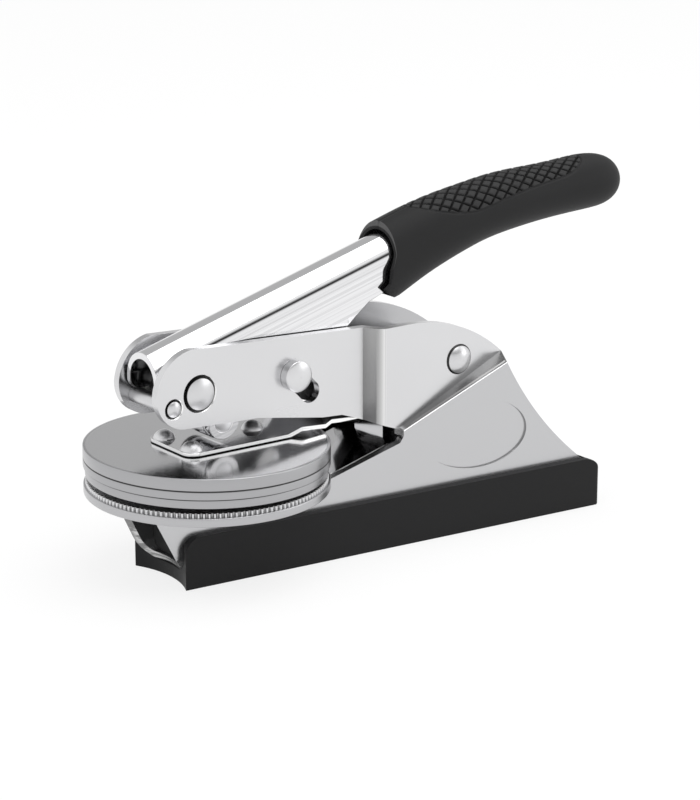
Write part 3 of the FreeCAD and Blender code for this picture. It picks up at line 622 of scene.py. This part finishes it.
chrome = Paint("chromed_channel", (0.78, 0.78, 0.79), 0.08, 1.0)
chrome.feed("Roughness", 0.05 + chrome.noise(60.0, 2.0) * 0.06)
_, toward_y, toward_z = chrome.facing("Normal")
along, across, up = chrome.here()
facing_down, facing_aside = (-0.25, -0.6), (0.9, 0.98)
# The inner faces of the channel and the faces turned down are painted near black as painted shade.
inside = (across * toward_y).step(-0.3, -1.5).most(toward_z.step(*facing_down))
handle_rise = math.radians(15.0)
height_in_channel = up * math.cos(handle_rise) - along * math.sin(handle_rise)
drawn = chrome.lines(height_in_channel, 1.3, 2.0).step(0.45, 0.62) * abs(toward_y).step(*facing_aside)
tone = chrome.blend(drawn, (0.8, 0.8, 0.81), (0.69, 0.69, 0.7))
chrome.feed("Base Color", chrome.blend(inside, tone, (0.09, 0.09, 0.09)))
channel_edge = 0.22
softened("handle_lever", "handle", chrome, channel_edge)
softened("roller_pin", "handle", plain_pins, turned_edge)
softened("roller", "press_roller", spring_steel, turned_edge)


# Grip: soft black moulding pushed over the channel, with an open collar at its mouth and a lens of
# diamond knurling on the top for the palm.

grip_tone = (0.02, 0.02, 0.0205)
grip_edge = 0.55
round_grip = 7.6
bow = 1.03
tile_length, tile_width = 3.9, 2.8
lens_start, lens_nose, lens_tail_start, lens_tail = 14.0, 22.0, 59.6, 9.8
lens_half, lens_taper, taper_start = 9.3, 0.08, 30.0
groove_depth, border_share = 0.5, 0.45
knurl_smooth_below = math.radians(50.0)


def grip_axis(x):
    """Height of the grip's middle line."""
    return 64.3 + x * 0.365 - x * x * 0.00337 + x * x * x * 0.0000063


grip_black = Paint("grip_moulding", grip_tone, 0.5, specular=0.1)
x, y, z = grip_black.here()
raised = z - grip_axis(x)
side = grip_black.node("ShaderNodeMath", {"operation": "ARCTAN2"}, y, raised) * round_grip
along = x * bow
nose = ((along - lens_start) / lens_nose).most(0.0).least(1.0)
tail = ((along - lens_tail_start) / lens_tail).most(0.0).least(1.0)
half = lens_half - (along - taper_start).most(0.0) * lens_taper
half = half * (nose * (2 - nose)) ** 0.75 * (1 - tail * tail).most(0.0) ** 0.5
patch = (half - abs(side)).step(0.3, 0.6)
grooves = [
    grip_black.node("ShaderNodeMath", {"operation": "PINGPONG"}, line, 0.5)
    for line in (along / tile_length + side / tile_width, along / tile_length - side / tile_width)]
groove_flank = (0.04, 0.17)
tile = grooves[0].least(grooves[1]).step(*groove_flank)

# The rim of the mouth is painted paler over the top, as a painted highlight.
mouth_end, mouth_top, mouth_rim = (13.0, 12.0), (-1.0, 4.0), (7.746, 8.0)
mouth = grip_black.facing("Normal")[0].step(*forward) * x.step(*mouth_end)
mouth = mouth * raised.step(*mouth_top) * ((y * y + raised ** 2.0) ** 0.5).step(*mouth_rim)
skin = grip_black.noise(3000.0, 3.0)
grip_black.relief(skin, moulded_grain)
grip_black.feed("Roughness", 0.44 + skin * 0.12)
# The knurled tops are painted a little lighter as painted highlight, and the grooves between them near black
# as painted shade.
tone = grip_black.blend(patch * tile, grip_tone, (0.034, 0.034, 0.0345))
tone = grip_black.blend(mouth, tone, (0.1, 0.1, 0.101))
grip_black.feed("Base Color", grip_black.blend(patch * (1 - tile), tone, (0.0005, 0.0005, 0.0005)))
grip = softened("handle_grip", "handle", grip_black, grip_edge)

# The lip under the mouth is rounded off below.
for lip_z, share in ((57.7, 0.6), (57.3, 0.5)):
    pick(grip, "VERT", lambda vertex: vertex.co.z < lip_z * mm)
    bpy.ops.transform.resize(value=(1.0, 1.0, share), center_override=(0, 0, lip_z * mm))
    bpy.ops.object.mode_set(mode="OBJECT")


def ramp(value, low, high):
    """0 at low, 1 at high, smooth between."""
    share = min(max((value - low) / (high - low), 0.0), 1.0)
    return share * share * (3 - 2 * share)


def knurling(spot, facing):
    """How deep the grooves are at a point of the grip, 0 to 1, and how far it lies inside their lens."""
    raised = spot.z - grip_axis(spot.x)
    if facing.y * spot.y + facing.z * raised < 0:
        return 0.0, -lens_half
    side = math.atan2(spot.y, raised) * round_grip
    along = spot.x * bow
    nose = min(max((along - lens_start) / lens_nose, 0.0), 1.0)
    tail = min(max((along - lens_tail_start) / lens_tail, 0.0), 1.0)
    half = lens_half - max(along - taper_start, 0.0) * lens_taper
    half = half * (nose * (2 - nose)) ** 0.75 * math.sqrt(1 - tail * tail)
    inside = half - abs(side)
    lines = (along / tile_length + side / tile_width, along / tile_length - side / tile_width)
    nearest = min(abs(line - round(line)) for line in lines)
    groove = (1 - ramp(nearest, *groove_flank)) * ramp(inside, 0.2, 0.5)
    border = ramp(inside, -0.35, 0.0) * ramp(inside, 0.45, 0.1)
    return max(groove, border * border_share), inside


pick(grip, "FACE", lambda face: knurling(face.center / mm, face.normal)[1] > -1.0)
bpy.ops.mesh.quads_convert_to_tris()
bpy.ops.mesh.subdivide(number_cuts=2)
bpy.ops.object.mode_set(mode="OBJECT")
carved = grip.vertex_groups.new(name="carved")
for vertex in grip.data.vertices:
    depth = knurling(vertex.co / mm, vertex.normal)[0]
    if depth > 0:
        carved.add([vertex.index], depth, "REPLACE")
cut = grip.modifiers.new("knurl", "DISPLACE")
cut.vertex_group = "carved"
cut.mid_level = 0.0
cut.strength = -groove_depth * mm
only(grip)
bpy.ops.object.modifier_apply(modifier="knurl")
bpy.ops.object.shade_smooth_by_angle(angle=knurl_smooth_below)


# Return pin and spring: the headed pin rides in the sloping slots, held by a collar on the far
# side, and a close coil between it and the main pivot lifts the handle again.

return_edge = 0.1
for node in ("return_pin", "return_pin_collar"):
    softened(node, "return_slider", plain_pins, return_edge)
wire_grey = (0.55, 0.55, 0.56)
spring_wire = Paint("spring_wire", wire_grey, 0.25, 1.0)
spring = softened("return_spring", None, spring_wire)
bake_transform(spring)


# Stand: pale floor, a white room that is duller behind the object and has one dark gap in front of
# it, soft light from above and from the right, and a camera at the photograph's angle.

floor_size = 6.0
bpy.ops.object.select_all(action="DESELECT")
bpy.ops.mesh.primitive_plane_add(size=floor_size, location=(0, 0, 0))
floor = bpy.context.active_object
floor.name = "floor"
sheet = bpy.data.materials.new("floor_white")
sheet.use_nodes = True
sheet.node_tree.nodes.remove(sheet.node_tree.nodes["Principled BSDF"])
ground = Nodes(sheet.node_tree)
by_camera, by_gloss, by_glass = (
    ground.node("ShaderNodeLightPath", out=ray)
    for ray in ("Is Camera Ray", "Is Glossy Ray", "Is Transmission Ray"))
floor_white = (0.93, 0.93, 0.93, 1.0)
seen_share, mirrored_share = 0.8, 0.6
paper = ground.node("ShaderNodeBsdfDiffuse", None, floor_white)
glow = ground.node("ShaderNodeEmission", None, None, 1.0)
lit = by_camera * seen_share + by_gloss.most(by_glass) * mirrored_share
ground.fill(
    sheet.node_tree.nodes["Material Output"].inputs["Surface"],
    ground.node("ShaderNodeMixShader", None, lit, paper, glow))
floor.data.materials.append(sheet)

world = bpy.data.worlds.new("studio")
bpy.context.scene.world = world
world.use_nodes = True
room = Nodes(world.node_tree)
x, y, z = room.xyz(room.node("ShaderNodeTexCoord", out="Generated"))
behind = y.step(0.22, 0.45) * z.step(0.1, 0.27) * x.step(-0.3, 0.1)
gap = z.band(0.36, 0.48, 0.52, 0.66) * y.step(-0.3, -0.6)
walls = room.blend(behind, (1.0, 1.0, 1.0), (0.52, 0.52, 0.52))
sky = world.node_tree.nodes["Background"]
room.fill(sky.inputs["Strength"], 1.0)
room.fill(sky.inputs["Color"], room.blend(gap, walls, (0.03, 0.03, 0.03)))


def soft_box(name, size, watts, place, target):
    light = bpy.data.lights.new(name, "AREA")
    light.shape = "RECTANGLE"
    light.size, light.size_y = size
    light.energy = watts
    lamp = bpy.data.objects.new(name, light)
    bpy.context.scene.collection.objects.link(lamp)
    lamp.location = place
    lamp.rotation_euler = (Vector(target) - Vector(place)).to_track_quat("-Z", "Y").to_euler()


soft_box("overhead", (0.9, 0.6), 2.6, (0.15, -0.1, 0.75), (0.0, 0.0, 0.0))
soft_box("right_side", (0.5, 0.5), 0.8, (0.65, -0.5, 0.35), (0.0, 0.0, 0.03))

azimuth, elevation = math.radians(-37.291), math.radians(16.808)
aim = Vector((-3.5046, -0.572, 33.049)) * mm
distance = 658.881 * mm
back = Vector((
    math.sin(azimuth) * math.cos(elevation), -math.cos(azimuth) * math.cos(elevation), math.sin(elevation)))
camera = bpy.data.cameras.new("camera")
camera.sensor_width = 36.0
camera.lens = 124.797
camera.clip_start = 0.01
camera.clip_end = 20.0
view = bpy.data.objects.new("camera", camera)
bpy.context.scene.collection.objects.link(view)
view.location = aim + back * distance
view.rotation_mode = "QUATERNION"
view.rotation_quaternion = (-back).to_track_quat("-Z", "Y")
bpy.context.scene.camera = view
bpy.context.scene.view_settings.view_transform = "Standard"
